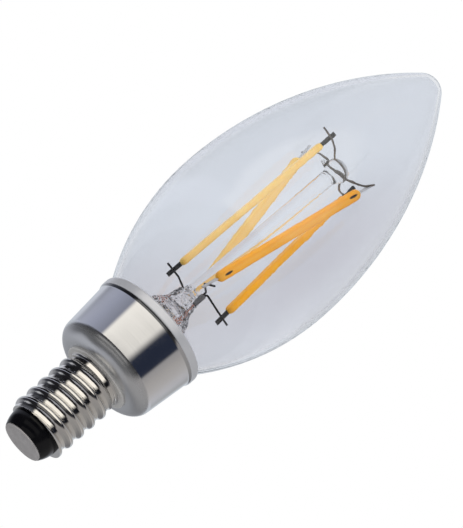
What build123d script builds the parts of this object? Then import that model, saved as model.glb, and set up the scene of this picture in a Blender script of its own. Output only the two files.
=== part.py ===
# Clear candle bulb with LED filaments and a small screw cap.
# Millimetres. The lamp's axis is Z, the cap points down and the glass tip points up.
# The origin is the middle of the centre contact's lower face. The side with the front filament is -Y.

import os
from math import asin, cos, radians, sin, sqrt

from build123d import *

os.makedirs("parts", exist_ok=True)

# Centre contact and insulator
contact_radius = 3.95
contact_thickness = 0.3
contact_edge_round = 0.12
eyelet_radius = 1.0
eyelet_stand_out = 0.4
eyelet_floor = 0.5
insulator_height = 2.8
insulator_foot_margin = 0.15
insulator_top_radius = 4.85
insulator_plug_radius = 4.4
insulator_plug_height = 2.2

# Screw shell: round knuckle thread, right-handed, rolled in thin sheet
thread_crest_radius = 5.9
thread_depth = 0.64
thread_pitch = 2.54
thread_azimuth = -41.0
thread_root_end = radians(10)
thread_core_angle = radians(20)
thread_seam_azimuth = 100.0
shell_wall = 0.3
shell_height = 14.35
shell_neck_height = 1.5
thread_fade_height = 1.75
flange_radius = 6.5
flange_thickness = 0.45
flange_round = 0.18
flange_root_round = 0.5

# Collar
collar_height = 13.05
collar_floor = 1.1
collar_wall = 0.6
base_round = 2.9
lip_height = 2.2
lip_width = 0.8
lip_overhang = 0.3
lip_rise = 0.45
lip_round = 0.55
lip_root_round = 0.6
spigot_wall = 0.85
bay_height = 5.0
bay_round = 2.0

# Glass envelope
glass_wall = 0.8
bulb_radius = 17.5
neck_radius = 8.8
neck_length = 3.0
neck_blend_radius = 6.0
belly_radius = 45.0
crown_height = 44.1
tip_radius = 3.53
cement_gap = 0.4

# Stem, exhaust tube and support rod
stem_wall = 0.9
stem_tube_radius = 4.0
stem_tube_length = 7.2
press_height = 5.6
press_roof = 1.0
press_top_long = 1.95
press_top_short = 1.6
press_angle = -43.0
exhaust_radius = 1.15
exhaust_bore = 0.6
exhaust_length = 9.0
exhaust_tip_length = 1.6
rod_radius = 1.47
rod_length = 33.2
bead_width = 4.4
bead_height = 2.6
bead_neck_round = 0.5
nub_radius = 0.72
nub_reach = 2.3
nub_drop = 0.85

# Filaments
filament_length = 31.5
filament_width = 1.9
filament_thickness = 1.2
filament_edge_round = 0.45
tab_length = 3.0
tab_width = 0.8
tab_thickness = 0.2
tab_root = 0.9
weld_length = 1.65

# Where each filament stands: the azimuth of its lower end, that end's share of the stand radius and of
# the lift above the press, the azimuth of its upper end and that end's share of the stand radius, and the
# azimuth that its wide face looks to
stand_radius = 8.0
stand_lift_height = 1.6
filament_stands = {
    "left": (180.0, 0.63, 0.95, 232.0, 0.915, 190.0),
    "front": (-84.0, 1.0, 1.0, -37.2, 0.905, -62.0),
    "right": (0.0, 0.785, 1.3, 42.0, 0.8, 20.0),
    "back": (84.6, 0.979, 1.0, 133.6, 0.965, 110.0),
}

# Wires
wire_radius = 0.18
wire_overshoot = 1.5
wire_bend = 0.7
sleeve_radius = 0.52
sleeve_length = 2.3
sleeve_sinks = {"left": 3.5, "right": 2.1}
sleeve_circle_radius = 2.15
pair_offset = 0.25
seal_wire_radius = 0.2
seal_circle_radius = 2.35
bridge_bead_offset = 0.5
bridge_step = 0.7
contact_wire_radius = 0.3

# Driver
board_thickness = 1.0
groove_depth = 0.4
groove_stop = 1.0
rectifier_size = (4.0, 1.5, 3.4)
chip_size = (3.9, 1.5, 3.9)
capacitor_radius = 1.9
capacitor_length = 6.4
capacitor_crimp_depth = 0.25
resistor_radius = 0.9
resistor_length = 3.4
component_gap = 1.0
solder_length = 1.8

# Clearances
slip_gap = 0.05
touch_gap = 0.01

# Solids that stand on the height they are placed at
upward = (Align.CENTER, Align.CENTER, Align.MIN)

# Heights of the seats, from the contact upwards
z_rim = contact_thickness + insulator_height
z_collar = z_rim + shell_height
z_lip_top = z_collar + collar_height
z_lip = z_lip_top - lip_height
z_bay_floor = z_collar + collar_floor
z_seal = z_bay_floor + bay_height
z_blend = z_seal + neck_length

# Glass arcs. The belly and crown arcs have their centres level with the widest place
belly_centre_radius = bulb_radius - belly_radius
blend_reach = neck_radius + neck_blend_radius - belly_centre_radius
z_widest = z_blend + sqrt((belly_radius + neck_blend_radius) ** 2 - blend_reach ** 2)
z_tip = z_widest + crown_height
tip_centre_height = crown_height - tip_radius
crown_square = bulb_radius ** 2 + tip_centre_height ** 2 - tip_radius ** 2
crown_radius = crown_square / (2 * (bulb_radius - tip_radius))
crown_centre = Vector(bulb_radius - crown_radius, z_widest)
belly_centre = Vector(belly_centre_radius, z_widest)
to_blend = (Vector(neck_radius + neck_blend_radius, z_blend) - belly_centre).normalized()
to_tip = (Vector(0, z_widest + tip_centre_height) - crown_centre).normalized()

# Seats of the stem and the filaments
z_tube_foot = z_seal + neck_radius - glass_wall - stem_tube_radius
z_press = z_tube_foot + stem_tube_length
z_press_top = z_press + press_height
z_rod_top = z_press_top + rod_length
z_bead = z_rod_top + bead_height / 2

# Radii that follow from the thread
root_radius = thread_crest_radius - thread_depth
knuckle_radius = ((thread_pitch / 4) ** 2 + (thread_depth / 2) ** 2) / thread_depth
shell_bore = root_radius - shell_wall
spigot_radius = shell_bore - slip_gap
spigot_bore = spigot_radius - spigot_wall

# The thread fades out below the shell's neck
z_flange = z_collar - flange_thickness
z_neck = z_collar - shell_neck_height
z_fade = z_neck - thread_fade_height

# The spigot ends above the insulator's plug, with room for a wire to reach a root of the thread between them
z_plug = z_rim + insulator_plug_height
z_spigot = z_plug + thread_pitch + wire_bend + 2 * wire_radius
spigot_length = z_collar - z_spigot


def glass_radius(height):
    """Outer radius of the glass at a height below its widest place."""
    if height < z_blend:
        return neck_radius
    if height < (belly_centre + to_blend * belly_radius).Y:
        return neck_radius + neck_blend_radius - sqrt(neck_blend_radius ** 2 - (height - z_blend) ** 2)
    return belly_centre_radius + sqrt(belly_radius ** 2 - (z_widest - height) ** 2)


# Radii of the collar that follow from the glass in it
bay_radius = neck_radius + cement_gap
wall_foot_radius = bay_radius + collar_wall
lip_radius = glass_radius(z_lip_top) + slip_gap + lip_width
wall_top_radius = lip_radius - lip_overhang


def keep(piece, name):
    """Label a finished piece and write it as the node of that name."""
    piece.part.label = name
    export_step(piece.part, f"parts/{name}.step")


def polar(azimuth, radius, height):
    """The point at an azimuth and radius around the lamp's axis."""
    return Vector(radius * cos(radians(azimuth)), radius * sin(radians(azimuth)), height)


def glass_outline(inset):
    """Lines of the glass from the neck's end to the tip, set in from the outer face."""
    neck = Line((neck_radius - inset, z_seal), (neck_radius - inset, z_blend))
    shoulder = TangentArc(neck @ 1, belly_centre + to_blend * (belly_radius - inset), tangent=neck % 1)
    belly = TangentArc(shoulder @ 1, (bulb_radius - inset, z_widest), tangent=shoulder % 1)
    crown = TangentArc(belly @ 1, crown_centre + to_tip * (crown_radius - inset), tangent=belly % 1)
    tip = TangentArc(crown @ 1, (0, z_tip - inset), tangent=crown % 1)
    return neck @ 0, tip @ 1


def wire_along(points, radius, bend):
    """Round wire along straight runs with rounded bends."""
    with BuildPart() as wire:
        with BuildLine() as route:
            FilletPolyline(*points, radius=bend)
        with BuildSketch(Plane(origin=route.line @ 0, z_dir=route.line % 0)):
            Circle(radius)
        sweep()
    return wire


def thread_body(inset):
    """Cylinder with the helical ridge of the thread, set in from the shell's outer face."""
    crest_centre = thread_crest_radius - knuckle_radius
    root_centre = root_radius + knuckle_radius
    half_pitch = thread_pitch / 2
    flank = Vector(root_centre - crest_centre, half_pitch).normalized()
    crest_arc = knuckle_radius - inset
    root_arc = knuckle_radius + inset
    inflection = Vector(crest_centre, 0) + flank * crest_arc
    root_middle = Vector(root_centre, half_pitch)
    root_mid_angle = (thread_root_end + asin(flank.Y)) / 2
    root_mid = root_middle - Vector(cos(root_mid_angle), sin(root_mid_angle)) * root_arc
    root_end = root_middle - Vector(cos(thread_root_end), sin(thread_root_end)) * root_arc
    core = root_radius - inset + knuckle_radius * (1 - cos(thread_core_angle))
    lap = Vector(core - 2 * shell_wall, root_end.Y)
    start = z_rim - 2 * thread_pitch
    run = shell_height + 4 * thread_pitch
    with BuildPart() as body:
        with BuildLine(mode=Mode.PRIVATE) as path:
            Helix(thread_pitch, run, thread_crest_radius, center=(0, 0, start))
        with BuildSketch(Plane(origin=(0, 0, start), x_dir=(1, 0, 0), z_dir=(0, -1, 0))):
            with BuildLine():
                ThreePointArc((inflection.X, -inflection.Y), (thread_crest_radius - inset, 0), inflection)
                ThreePointArc(inflection, root_mid, root_end)
                lower_end = (root_end.X, -root_end.Y)
                Polyline(root_end, lap, (lap.X, -lap.Y), lower_end)
                ThreePointArc(lower_end, (root_mid.X, -root_mid.Y), (inflection.X, -inflection.Y))
            make_face()
        sweep(path=path.line, is_frenet=True)
        with Locations(Location((0, 0, start - thread_pitch), (0, 0, thread_seam_azimuth))):
            Cylinder(core, run + 2 * thread_pitch, align=upward)
    return body


def thread_limit(inset, foot):
    """Solid that the thread is cut to, from a height up to where it has faded into the shell's neck."""
    with BuildPart() as limit:
        with BuildSketch(Plane.XZ):
            with BuildLine():
                Polyline(
                    (0, foot),
                    (flange_radius - inset, foot),
                    (flange_radius - inset, z_fade),
                    (root_radius - inset - 2 * slip_gap, z_neck),
                    (0, z_neck),
                    close=True,
                )
            make_face()
        revolve(axis=Axis.Z)
    return limit


# Screw shell: rolled thread, threaded inside as well, with a plain neck and a ring flange under the collar
with BuildPart() as shell_inside:
    add(thread_body(shell_wall).part, rotation=(0, 0, thread_azimuth))
    add(thread_limit(shell_wall, z_rim + shell_wall).part, mode=Mode.INTERSECT)
    with Locations((0, 0, z_rim + shell_wall)):
        Cylinder(shell_bore, shell_height, align=upward)
with BuildPart() as screw_shell:
    add(thread_body(0).part, rotation=(0, 0, thread_azimuth))
    add(thread_limit(0, z_rim).part, mode=Mode.INTERSECT)
    with BuildSketch(Plane.XZ) as neck_and_flange:
        with BuildLine():
            Polyline(
                (shell_bore - shell_wall, z_fade),
                (root_radius, z_fade),
                (root_radius, z_flange),
                (flange_radius, z_flange),
                (flange_radius, z_collar),
                (shell_bore - shell_wall, z_collar),
                close=True,
            )
        make_face()
        fillet(neck_and_flange.vertices().sort_by_distance((root_radius, z_flange))[0], flange_root_round)
        fillet(neck_and_flange.vertices().sort_by_distance((flange_radius, z_flange))[0], flange_round)
    revolve(axis=Axis.Z)
    add(shell_inside.part, mode=Mode.SUBTRACT)
    with Locations((0, 0, z_rim)):
        Hole(insulator_plug_radius + slip_gap)
keep(screw_shell, "screw_shell")

# Insulator: rounded black foot under the shell's rim, with a plug that stands up inside the shell
insulator_foot_radius = contact_radius + insulator_foot_margin
with BuildPart() as base_insulator:
    with BuildSketch(Plane.XZ):
        with BuildLine():
            foot = Line((0, contact_thickness), (insulator_foot_radius, contact_thickness))
            side = TangentArc((insulator_top_radius, z_rim), foot @ 1, tangent=(0, -1))
            Polyline(
                side @ 0,
                (insulator_plug_radius, z_rim),
                (insulator_plug_radius, z_plug),
                (0, z_plug),
                foot @ 0,
            )
        make_face()
    revolve(axis=Axis.Z)
    Hole(eyelet_radius + slip_gap)
keep(base_insulator, "base_insulator")

# Centre contact: disc on the insulator's foot, and the eyelet that takes the contact wire
z_eyelet_top = z_plug + eyelet_stand_out
with BuildPart() as centre_contact:
    with BuildSketch():
        Circle(contact_radius)
    extrude(amount=contact_thickness)
    fillet(centre_contact.edges().group_by(Axis.Z)[0], contact_edge_round)
    with BuildSketch(Plane.XY.offset(contact_thickness)):
        Circle(eyelet_radius)
    extrude(amount=z_eyelet_top - contact_thickness)
    with Locations((0, 0, z_eyelet_top)):
        Hole(contact_wire_radius + slip_gap, depth=z_eyelet_top - eyelet_floor)
keep(centre_contact, "centre_contact")

# Places on the driver board, upwards from its foot in the spigot
board_half_width = spigot_bore + groove_depth - slip_gap
z_board = z_spigot + groove_stop
chip_width, chip_depth, chip_height = chip_size
z_resistor = z_board + solder_length + component_gap / 2 + resistor_radius
z_chip = z_resistor + resistor_radius + component_gap / 2
z_capacitor = max(z_bay_floor, z_chip + chip_height) + component_gap / 2 + capacitor_radius
z_board_top = z_capacitor + component_gap

# Collar: flared wall with a rounded lip, bay for the driver, and the spigot that fills the shell
with BuildPart() as collar:
    with BuildSketch(Plane.XZ) as outside:
        with BuildLine():
            wall = Line((wall_foot_radius, z_collar), (wall_top_radius, z_lip))
            Polyline(wall @ 1, (lip_radius, z_lip + lip_rise), (lip_radius, z_lip_top), (0, z_lip_top))
            Polyline((0, z_lip_top), (0, z_collar), wall @ 0)
        make_face()
        fillet(outside.vertices().sort_by_distance((wall_foot_radius, z_collar))[0], base_round)
        fillet(outside.vertices().sort_by_distance((wall_top_radius, z_lip))[0], lip_root_round)
        fillet(outside.vertices().sort_by_distance((lip_radius, z_lip + lip_rise))[0], lip_round)
        fillet(outside.vertices().sort_by_distance((lip_radius, z_lip_top))[0], lip_round)
    revolve(axis=Axis.Z)
    with Locations((0, 0, z_spigot)):
        Cylinder(spigot_radius, spigot_length, align=upward)
    with BuildSketch(Plane.XZ) as bay:
        with Locations((0, z_bay_floor)):
            Rectangle(bay_radius, z_blend - z_bay_floor, align=Align.MIN)
        fillet(bay.vertices().sort_by_distance((bay_radius, z_bay_floor))[0], bay_round)
    revolve(axis=Axis.Z, mode=Mode.SUBTRACT)
    with BuildSketch(Plane.XZ):
        with BuildLine():
            neck_end, tip_end = glass_outline(-slip_gap)
            Polyline(tip_end, (0, z_seal), neck_end)
        make_face()
    revolve(axis=Axis.Z, mode=Mode.SUBTRACT)
    with Locations((0, 0, z_spigot)):
        Cylinder(spigot_bore, z_seal - z_spigot, align=upward, mode=Mode.SUBTRACT)
    with Locations((0, 0, z_board)):
        Box(
            2 * (board_half_width + slip_gap),
            board_thickness + 2 * slip_gap,
            z_bay_floor - z_board,
            align=upward,
            mode=Mode.SUBTRACT,
        )
keep(collar, "collar")

# Cement between the glass neck and the collar
with BuildPart() as neck_cement:
    with BuildSketch(Plane.XY.offset(z_seal)):
        Circle(bay_radius)
        Circle(neck_radius, mode=Mode.SUBTRACT)
    extrude(amount=neck_length)
keep(neck_cement, "neck_cement")

# Glass envelope
with BuildPart() as glass_envelope:
    with BuildSketch(Plane.XZ):
        with BuildLine():
            outer_neck, outer_tip = glass_outline(0)
            inner_neck, inner_tip = glass_outline(glass_wall)
            Line(outer_tip, inner_tip)
            Line(inner_neck, outer_neck)
        make_face()
    revolve(axis=Axis.Z)
keep(glass_envelope, "glass_envelope")


class FilamentFrame:
    """Where one filament stands, with its own axis, its wide face and its weld points."""

    def __init__(self, stand):
        lower_azimuth, lower_share, lift_share, upper_azimuth, upper_share, facing = stand
        foot = polar(lower_azimuth, lower_share * stand_radius, z_press_top + lift_share * stand_lift_height)
        head = polar(upper_azimuth, upper_share * stand_radius, foot.Z)
        rise = sqrt(filament_length ** 2 - (head - foot).length ** 2)
        self.foot = foot
        self.head = head + Vector(0, 0, rise)
        self.axis = (self.head - self.foot).normalized()
        middle = (self.foot + self.head) / 2
        outward = polar(facing, 1, 0)
        self.out = (outward - self.axis * outward.dot(self.axis)).normalized()
        self.plane = Plane(origin=middle, x_dir=self.axis, z_dir=self.out)
        self.side = self.plane.y_dir

    def weld(self, end, turn):
        """Middle of the wire where it lies against the tab at the foot (-1) or the head (1)."""
        tip = self.head if end > 0 else self.foot
        beside = tab_thickness / 2 + wire_radius + touch_gap
        return tip + self.axis * (end * weld_length) + self.side * (turn * beside)


frames = {name: FilamentFrame(stand) for name, stand in filament_stands.items()}

# Filaments: a rounded strip each, with a thin metal tab let into both ends
for name, place in frames.items():
    tabs = {}
    for end_name, end in (("lower", -1), ("upper", 1)):
        tab_middle = end * (filament_length / 2 + (tab_length - tab_root) / 2)
        with BuildPart() as tab:
            with BuildSketch(place.plane):
                with Locations((tab_middle, 0)):
                    Rectangle(tab_length + tab_root, tab_thickness)
            extrude(amount=tab_width / 2, both=True)
        keep(tab, f"filament_{name}_{end_name}_tab")
        tabs[end_name] = tab
    with BuildPart() as filament:
        with BuildSketch(place.plane.offset(-filament_thickness / 2)):
            SlotOverall(filament_length, filament_width)
        extrude(amount=filament_thickness)
        levels = filament.edges().group_by(Axis(place.plane.origin, place.out))
        fillet(levels[0] + levels[-1], filament_edge_round)
        for tab in tabs.values():
            add(tab.part, mode=Mode.SUBTRACT)
    keep(filament, f"filament_{name}")

# Lead sleeves: each stands in the press's side and joins two lead wires to one seal wire
sleeve_places = {
    "left": polar(press_angle + 180, sleeve_circle_radius, z_press_top - sleeve_sinks["left"]),
    "right": polar(press_angle, sleeve_circle_radius, z_press_top - sleeve_sinks["right"]),
}
# Each lead wire: its sleeve, and the side of the tab that it lies on
lead_routes = {
    "left": ("left", 1),
    "back": ("left", -1),
    "right": ("right", 1),
    "front": ("right", -1),
}
lead_wires = {}
for name, (sleeve_name, turn) in lead_routes.items():
    place = frames[name]
    sleeve_foot = sleeve_places[sleeve_name]
    toward = Vector(place.foot.X, place.foot.Y, 0) - Vector(sleeve_foot.X, sleeve_foot.Y, 0)
    across = Vector(-sin(radians(press_angle)), cos(radians(press_angle)), 0)
    aside = across * pair_offset if across.dot(toward) > 0 else across * -pair_offset
    root = sleeve_foot + aside + Vector(0, 0, sleeve_length / 2)
    weld = place.weld(-1, turn)
    lead_wires[name] = wire_along(
        [
            root,
            Vector(root.X, root.Y, sleeve_foot.Z + sleeve_length + wire_bend),
            weld - place.out * wire_overshoot,
            weld + place.out * wire_overshoot,
        ],
        wire_radius,
        wire_bend / 2,
    )
    keep(lead_wires[name], f"lead_wire_{name}")

# Seal wires: from the sleeve through the press, down the stem and on to the board's front face
press_underside = z_press - press_roof
board_face = board_thickness / 2 + seal_wire_radius + touch_gap
seal_wires = {}
for sleeve_name, sleeve_foot in sleeve_places.items():
    azimuth = press_angle if sleeve_name == "right" else press_angle + 180
    under_press = polar(azimuth, seal_circle_radius, press_underside)
    board_x = board_half_width / 2 if sleeve_name == "right" else -board_half_width / 2
    seal_wires[sleeve_name] = wire_along(
        [
            sleeve_foot - Vector(0, 0, 2 * touch_gap),
            under_press,
            Vector(under_press.X, under_press.Y, z_seal + stem_wall),
            Vector(board_x, -board_face, z_board_top + wire_bend),
            Vector(board_x, -board_face, z_board_top - solder_length),
        ],
        seal_wire_radius,
        wire_bend / 2,
    )
    keep(seal_wires[sleeve_name], f"seal_wire_{sleeve_name}")

sleeves = {}
for sleeve_name, sleeve_foot in sleeve_places.items():
    with BuildPart() as sleeve:
        with BuildSketch(Plane(sleeve_foot)):
            Circle(sleeve_radius)
        extrude(amount=sleeve_length)
        for wire_name, (owner, _) in lead_routes.items():
            if owner == sleeve_name:
                add(lead_wires[wire_name].part, mode=Mode.SUBTRACT)
    sleeves[sleeve_name] = sleeve
    keep(sleeve, f"lead_sleeve_{sleeve_name}")

# Bridge wires: through the bead, each joining the upper tabs of two filaments
bridge_routes = {
    "front": ("left", "front", -1, 1),
    "back": ("back", "right", 1, -1),
}
bridge_wires = {}
for name, (start_name, end_name, y_side, z_side) in bridge_routes.items():
    start = frames[start_name]
    end = frames[end_name]
    bead_y = y_side * bridge_bead_offset
    bead_z = z_bead + z_side * bridge_step / 2
    reach = bead_width / 2 + wire_bend
    start_weld = start.weld(1, y_side)
    end_weld = end.weld(1, -y_side)
    bridge_wires[name] = wire_along(
        [
            start_weld + start.out * wire_overshoot,
            start_weld - start.out * wire_overshoot,
            Vector(-reach, bead_y, bead_z),
            Vector(reach, bead_y, bead_z),
            end_weld - end.out * wire_overshoot,
            end_weld + end.out * wire_overshoot,
        ],
        wire_radius,
        wire_bend / 2,
    )
    keep(bridge_wires[name], f"bridge_wire_{name}")

# Stem: flared tube, sealed to the neck's end, drawn in and closed round the wires at its top
flare_outer = neck_radius - glass_wall
with BuildPart() as stem:
    with BuildSketch(Plane.XZ):
        with BuildLine():
            rim = Polyline((neck_radius, z_seal - stem_wall), (neck_radius, z_seal), (flare_outer, z_seal))
            flare = TangentArc(rim @ 1, (stem_tube_radius, z_tube_foot), tangent=(-1, 0))
            tube = Polyline(flare @ 1, (stem_tube_radius, z_press), (0, z_press), (0, press_underside))
            bore_radius = stem_tube_radius - stem_wall
            bore = Polyline(tube @ 1, (bore_radius, press_underside), (bore_radius, z_tube_foot))
            under_flare = TangentArc(bore @ 1, (flare_outer, z_seal - stem_wall), tangent=(0, -1))
            Line(under_flare @ 1, rim @ 0)
        make_face()
    revolve(axis=Axis.Z)
    with BuildSketch(Plane.XY.offset(z_press)):
        Circle(stem_tube_radius)
    with BuildSketch(Plane.XY.offset(z_press_top)):
        Ellipse(press_top_long, press_top_short, rotation=press_angle)
    loft()
    for piece in (*sleeves.values(), *seal_wires.values(), *lead_wires.values()):
        add(piece.part, mode=Mode.SUBTRACT)
keep(stem, "stem")

# Exhaust tube: stands under the press, drawn to a closed tip
z_exhaust_end = press_underside - exhaust_length
with BuildPart() as exhaust_tube:
    with BuildSketch(Plane.XZ):
        with BuildLine():
            Polyline(
                (exhaust_bore, press_underside),
                (exhaust_radius, press_underside),
                (exhaust_radius, z_exhaust_end + exhaust_tip_length),
                (0, z_exhaust_end),
                (0, z_exhaust_end + exhaust_tip_length),
                (exhaust_bore, z_exhaust_end + 2 * exhaust_tip_length),
                close=True,
            )
        make_face()
    revolve(axis=Axis.Z)
keep(exhaust_tube, "exhaust_tube")

# Support rod: stands on the press, with the melted bead that holds the bridge wires and a drop of glass by it
with BuildPart() as support_rod:
    with BuildSketch(Plane.XZ) as rod_half:
        with Locations((0, z_press_top)):
            Rectangle(rod_radius, z_bead - z_press_top, align=Align.MIN)
        with Locations((0, z_bead)):
            Ellipse(bead_width / 2, bead_height / 2)
        with Locations((0, z_bead)):
            Rectangle(bead_width, bead_height, align=(Align.MAX, Align.CENTER), mode=Mode.SUBTRACT)
        crease_drop = bead_height / 2 * sqrt(1 - (2 * rod_radius / bead_width) ** 2)
        fillet(rod_half.vertices().sort_by_distance((rod_radius, z_bead - crease_drop))[0], bead_neck_round)
    revolve(axis=Axis.Z)
    with Locations((-nub_reach, 0, z_bead - nub_drop)):
        Sphere(nub_radius)
    for wire in bridge_wires.values():
        add(wire.part, mode=Mode.SUBTRACT)
keep(support_rod, "support_rod")

# Driver board: stands in the spigot's grooves and reaches into the bay
with BuildPart() as driver_board:
    with BuildSketch(Plane.XY.offset(z_board)):
        Rectangle(2 * board_half_width, board_thickness)
    extrude(amount=z_board_top - z_board)
keep(driver_board, "driver_board")

# Wire from the centre contact to the board's back face
back_face = board_thickness / 2 + contact_wire_radius + touch_gap
contact_wire = wire_along(
    [
        (0, 0, eyelet_floor),
        (0, 0, z_eyelet_top + wire_bend),
        (0, back_face, z_board - wire_bend),
        (0, back_face, z_board + solder_length),
    ],
    contact_wire_radius,
    wire_bend / 2,
)
keep(contact_wire, "contact_wire")

# Wire from the board's front face, round the spigot's end, to a root of the thread inside the shell
shell_wire_x = board_half_width / 2
shell_wire_y = -board_thickness / 2 - wire_radius - touch_gap
root_height = z_rim - (thread_azimuth / 360 + 0.5) * thread_pitch
root_turns = int((z_spigot - wire_bend - root_height) / thread_pitch)
z_shell_wire = root_height + root_turns * thread_pitch
shell_wire_end = sqrt((shell_bore - slip_gap) ** 2 - (abs(shell_wire_y) + wire_radius) ** 2)
shell_wire = wire_along(
    [
        (shell_wire_x, shell_wire_y, z_board + solder_length),
        (shell_wire_x, shell_wire_y, z_shell_wire),
        (shell_wire_end, shell_wire_y, z_shell_wire),
    ],
    wire_radius,
    wire_bend / 2,
)
keep(shell_wire, "shell_wire")

# Fuse resistor and chip on the board's back face, rectifier on its front
with BuildPart() as fuse_resistor:
    with BuildSketch(Plane.YZ):
        with Locations((board_thickness / 2 + resistor_radius + touch_gap, z_resistor)):
            Circle(resistor_radius)
    extrude(amount=resistor_length / 2, both=True)
keep(fuse_resistor, "fuse_resistor")

with BuildPart() as driver_chip:
    with Locations((0, board_thickness / 2, z_chip)):
        Box(chip_width, chip_depth, chip_height, align=(Align.CENTER, Align.MIN, Align.MIN))
keep(driver_chip, "driver_chip")

rectifier_width, rectifier_depth, rectifier_height = rectifier_size
with BuildPart() as bridge_rectifier:
    with Locations((0, -board_thickness / 2, z_board + solder_length + component_gap)):
        Box(rectifier_width, rectifier_depth, rectifier_height, align=(Align.CENTER, Align.MAX, Align.MIN))
keep(bridge_rectifier, "bridge_rectifier")

# Smoothing capacitor: a can with a crimped end, lying across the board in the bay
capacitor_y = board_thickness / 2 + capacitor_radius + touch_gap
with BuildPart() as smoothing_capacitor:
    with BuildSketch(Plane.YZ):
        with Locations((capacitor_y, z_capacitor)):
            Circle(capacitor_radius)
    extrude(amount=capacitor_length / 2, both=True)
    crimp_plane = Plane.YZ.offset(capacitor_length / 2 - component_gap)
    with BuildSketch(crimp_plane):
        with Locations((capacitor_y, z_capacitor)):
            Circle(capacitor_radius)
            Circle(capacitor_radius - capacitor_crimp_depth, mode=Mode.SUBTRACT)
    extrude(amount=capacitor_crimp_depth, mode=Mode.SUBTRACT)
keep(smoothing_capacitor, "smoothing_capacitor")
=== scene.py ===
# %% [markdown]
# # A clear candle bulb with four light strips
# The bulb is already modelled as solids: cap, collar, glass and everything inside. This lesson loads
# those solids as a fixed frame and dresses them. Glass, plated metal and yellow strips get finishes made
# from shader nodes. Three pieces that were shaped by hand on the real bulb are plain in the solids, so
# they are modelled here again: the glass stem with its rod, and two bent wires.

from math import cos, pi, radians, sin

import bmesh
import bpy
from mathutils import Matrix, Vector, noise


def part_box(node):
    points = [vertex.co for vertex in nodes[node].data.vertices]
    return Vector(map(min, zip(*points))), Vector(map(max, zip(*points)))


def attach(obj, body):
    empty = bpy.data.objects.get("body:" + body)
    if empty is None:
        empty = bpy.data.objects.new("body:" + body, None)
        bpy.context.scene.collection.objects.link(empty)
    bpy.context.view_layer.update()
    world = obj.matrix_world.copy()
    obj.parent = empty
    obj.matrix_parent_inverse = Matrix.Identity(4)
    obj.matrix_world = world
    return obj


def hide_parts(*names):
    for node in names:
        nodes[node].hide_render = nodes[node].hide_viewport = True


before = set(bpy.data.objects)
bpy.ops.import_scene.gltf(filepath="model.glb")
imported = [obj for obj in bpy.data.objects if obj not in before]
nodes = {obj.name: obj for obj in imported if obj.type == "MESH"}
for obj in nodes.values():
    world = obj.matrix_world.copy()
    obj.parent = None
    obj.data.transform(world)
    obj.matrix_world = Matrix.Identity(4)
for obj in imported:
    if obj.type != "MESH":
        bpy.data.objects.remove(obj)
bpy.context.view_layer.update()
mm = 0.001

# %% [markdown]
# ## The camera
# The photograph looks up at the cap from about 21 degrees below the bulb's middle, and the bulb lies
# across the frame, so the camera is rolled about its own line of sight. A long lens keeps the perspective
# flat. The camera could be tracked to an empty. Its axes are written out here instead, because the roll
# is part of the match, and a matrix of three axes and a place says all of it at once.

# %% Camera
below = radians(20.64)
roll = radians(41.2)
distance = 843.9 * mm
aim = Vector((0.62, 0.0, 48.67)) * mm
sensor_size = 36.0
picture_height = 528.0
focal_pixels = 5000.0

to_camera = Vector((0.0, -cos(below), -sin(below)))
along_bulb = Vector((0.0, -sin(below), cos(below)))
across_bulb = Vector((1.0, 0.0, 0.0))
right = cos(roll) * along_bulb + sin(roll) * across_bulb
up = sin(roll) * along_bulb - cos(roll) * across_bulb

camera_data = bpy.data.cameras.new("camera")
camera_data.sensor_width = sensor_size
camera_data.lens = focal_pixels * sensor_size / picture_height
camera_data.clip_end = 20.0
camera = bpy.data.objects.new("camera", camera_data)
bpy.context.scene.collection.objects.link(camera)
turn = Matrix((right, up, to_camera)).transposed().to_4x4()
camera.matrix_world = Matrix.Translation(aim + to_camera * distance) @ turn
bpy.context.scene.camera = camera
bpy.context.scene.view_settings.view_transform = "Standard"
print("camera's height over the contact in mm:", round(camera.matrix_world.translation.z / mm))

# %% [markdown]
# ## The white surround
# The bulb was photographed on plain white. The world gives white to the rays that the camera sees
# directly, in a mirror or through glass, and a calmer level to the rays that light matt surfaces. One
# brightness for all rays would be simpler, but it would wash out the strips. Light Path tells the rays
# apart.

# %% World
matt_level = 0.62
world = bpy.data.worlds.new("white_surround")
bpy.context.scene.world = world
world.use_nodes = True
tree = world.node_tree
tree.nodes.clear()
rays = tree.nodes.new("ShaderNodeLightPath")
seen = rays.outputs["Is Camera Ray"]
for kind in ("Is Glossy Ray", "Is Transmission Ray"):
    either = tree.nodes.new("ShaderNodeMath")
    either.operation = "MAXIMUM"
    tree.links.new(seen, either.inputs[0])
    tree.links.new(rays.outputs[kind], either.inputs[1])
    seen = either.outputs[0]
white = tree.nodes.new("ShaderNodeBackground")
white.inputs["Color"].default_value = (1.0, 1.0, 1.0, 1.0)
white.inputs["Strength"].default_value = 1.0
calm = tree.nodes.new("ShaderNodeBackground")
calm.inputs["Color"].default_value = (0.97, 0.98, 1.0, 1.0)
calm.inputs["Strength"].default_value = matt_level
choose = tree.nodes.new("ShaderNodeMixShader")
out = tree.nodes.new("ShaderNodeOutputWorld")
tree.links.new(seen, choose.inputs["Fac"])
tree.links.new(calm.outputs[0], choose.inputs[1])
tree.links.new(white.outputs[0], choose.inputs[2])
tree.links.new(choose.outputs[0], out.inputs["Surface"])
print("world strength on matt surfaces:", matt_level)

# %% [markdown]
# ## The floor
# A pale studio floor shows when the bulb is seen from above. It could be a plane added by an operator of
# the editor. A bmesh grid of one face does the same without a selection. The floor lies below the camera,
# because the camera looks up from under the cap, and mirrors don't see it, because a dome shows them the
# room.


# %% Floor
def stage_piece(work, name):
    """Turn a bmesh into a piece of the studio."""
    mesh = bpy.data.meshes.new(name)
    work.to_mesh(mesh)
    work.free()
    piece = bpy.data.objects.new(name, mesh)
    bpy.context.scene.collection.objects.link(piece)
    return piece


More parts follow.
